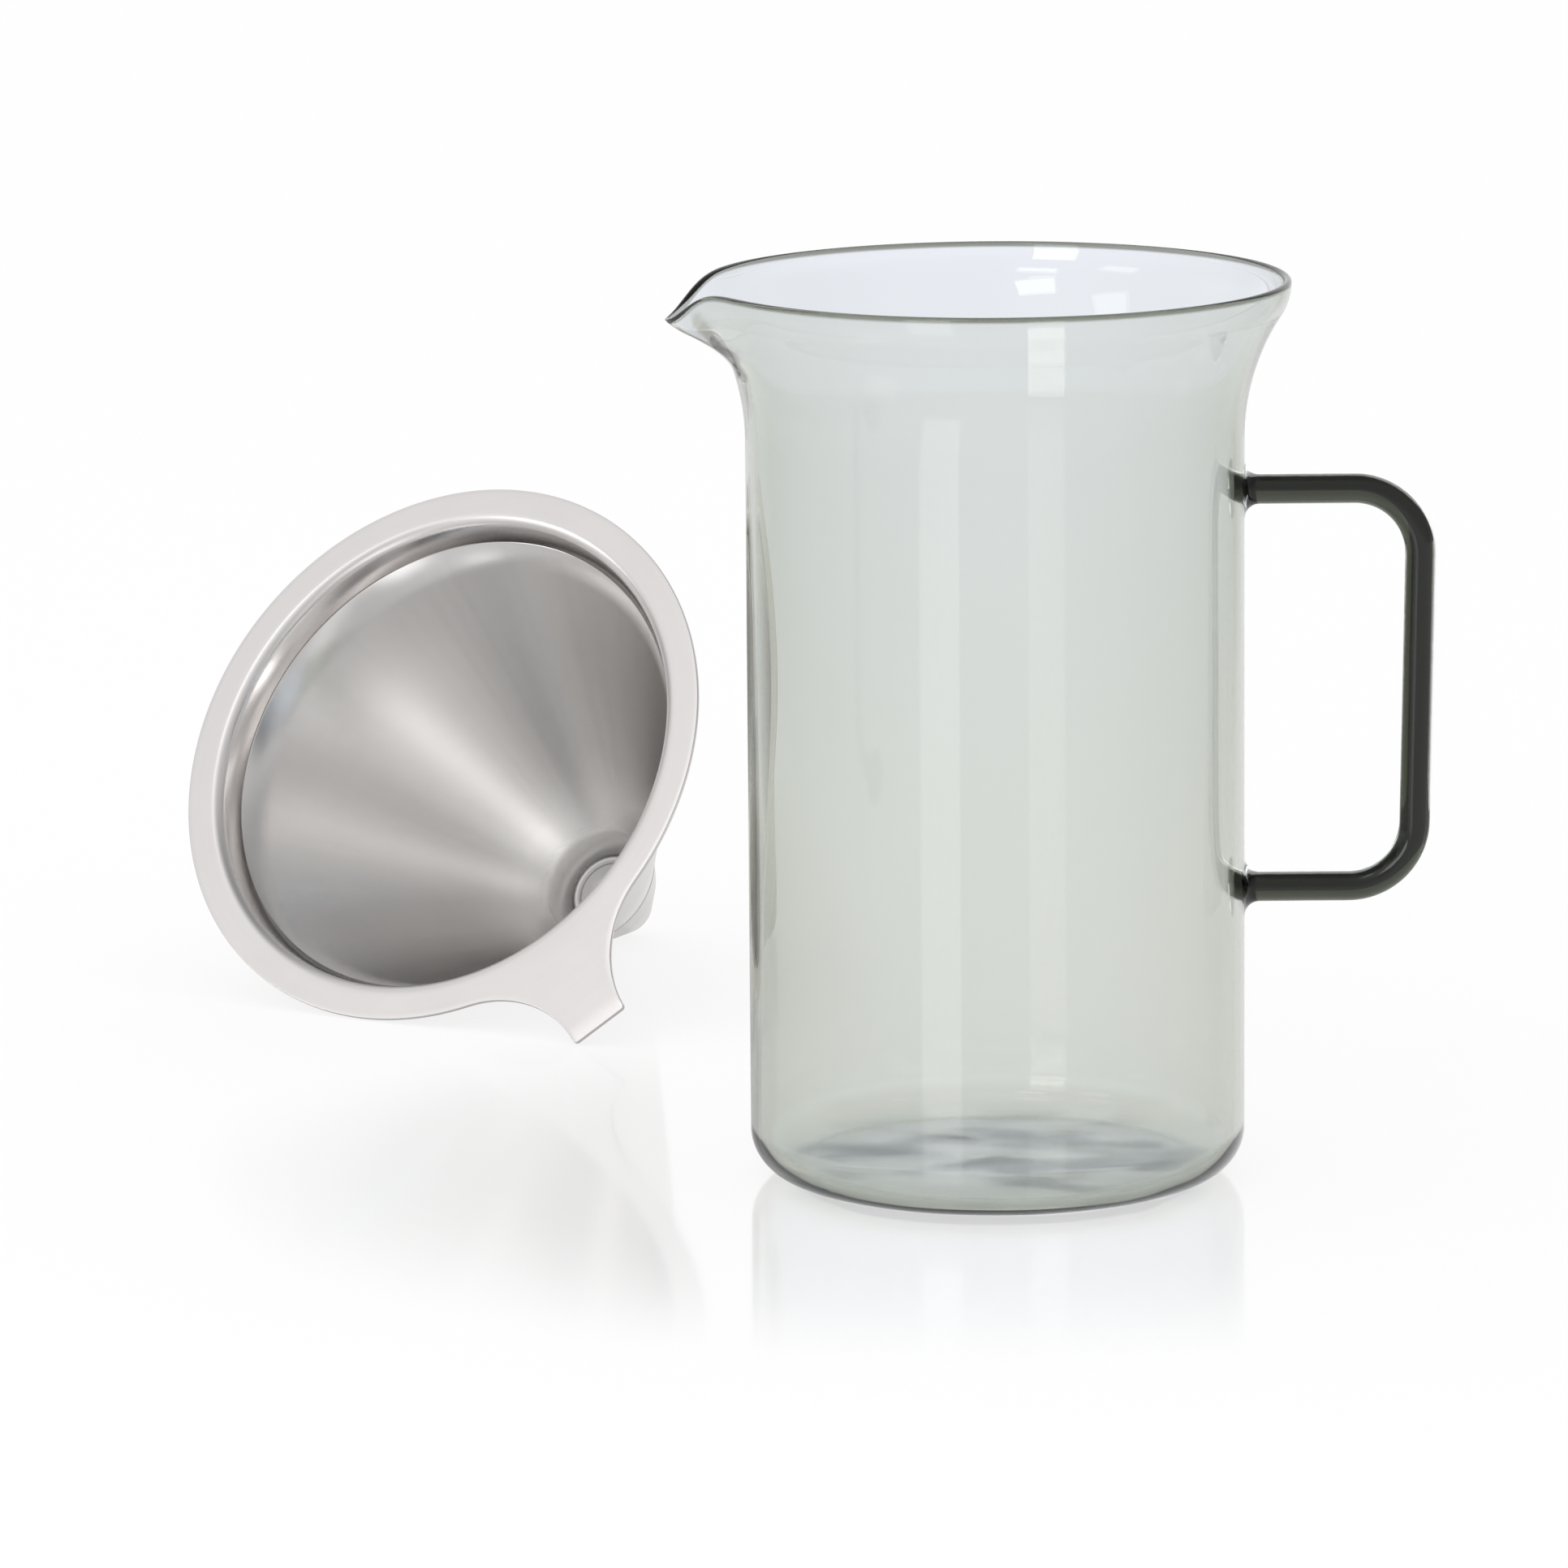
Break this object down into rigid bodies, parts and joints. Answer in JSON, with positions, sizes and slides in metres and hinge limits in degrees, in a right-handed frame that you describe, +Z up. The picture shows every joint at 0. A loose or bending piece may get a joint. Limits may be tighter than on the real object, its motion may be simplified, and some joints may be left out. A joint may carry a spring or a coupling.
{
  "type": "pour-over coffee maker",
  "caption": "Tall smoky glass jug with a flared mouth, drawn spout and bent rod handle, with a two-walled steel cone filter with a pull tab lying beside it.",
  "frame": {"origin": "centre of the jug's flat underside, on the table", "axes": "+Z up the jug's axis, +X towards the handle, -X towards the spout, -Y towards the viewer of the picture"},
  "size_m": [0.2876, 0.3418, 0.1985],
  "materials": {
    "smoky_glass": "clear, lightly smoked green-grey, fire-polished edge",
    "dark_glass": "dark green-grey solid rod",
    "rim_steel": "fine satin",
    "cone_steel": "perforated sheet, satin",
    "mesh_steel": "very fine woven mesh with a soft sheen",
    "foot_steel": "plain satin"
  },
  "bodies": {
    "jug": {"glass_jug": "smoky_glass", "glass_handle": "dark_glass"},
    "filter": {"filter_rim": "rim_steel", "filter_outer_cone": "cone_steel", "filter_inner_mesh": "mesh_steel", "filter_tip_cap": "rim_steel", "filter_foot": "foot_steel"}
  },
  "joints": [
    {"name": "filter_lift", "type": "slide", "parent": "jug", "child": "filter", "axis": [0, 0, 1], "range_m": [0, 0.21]}
  ]
}
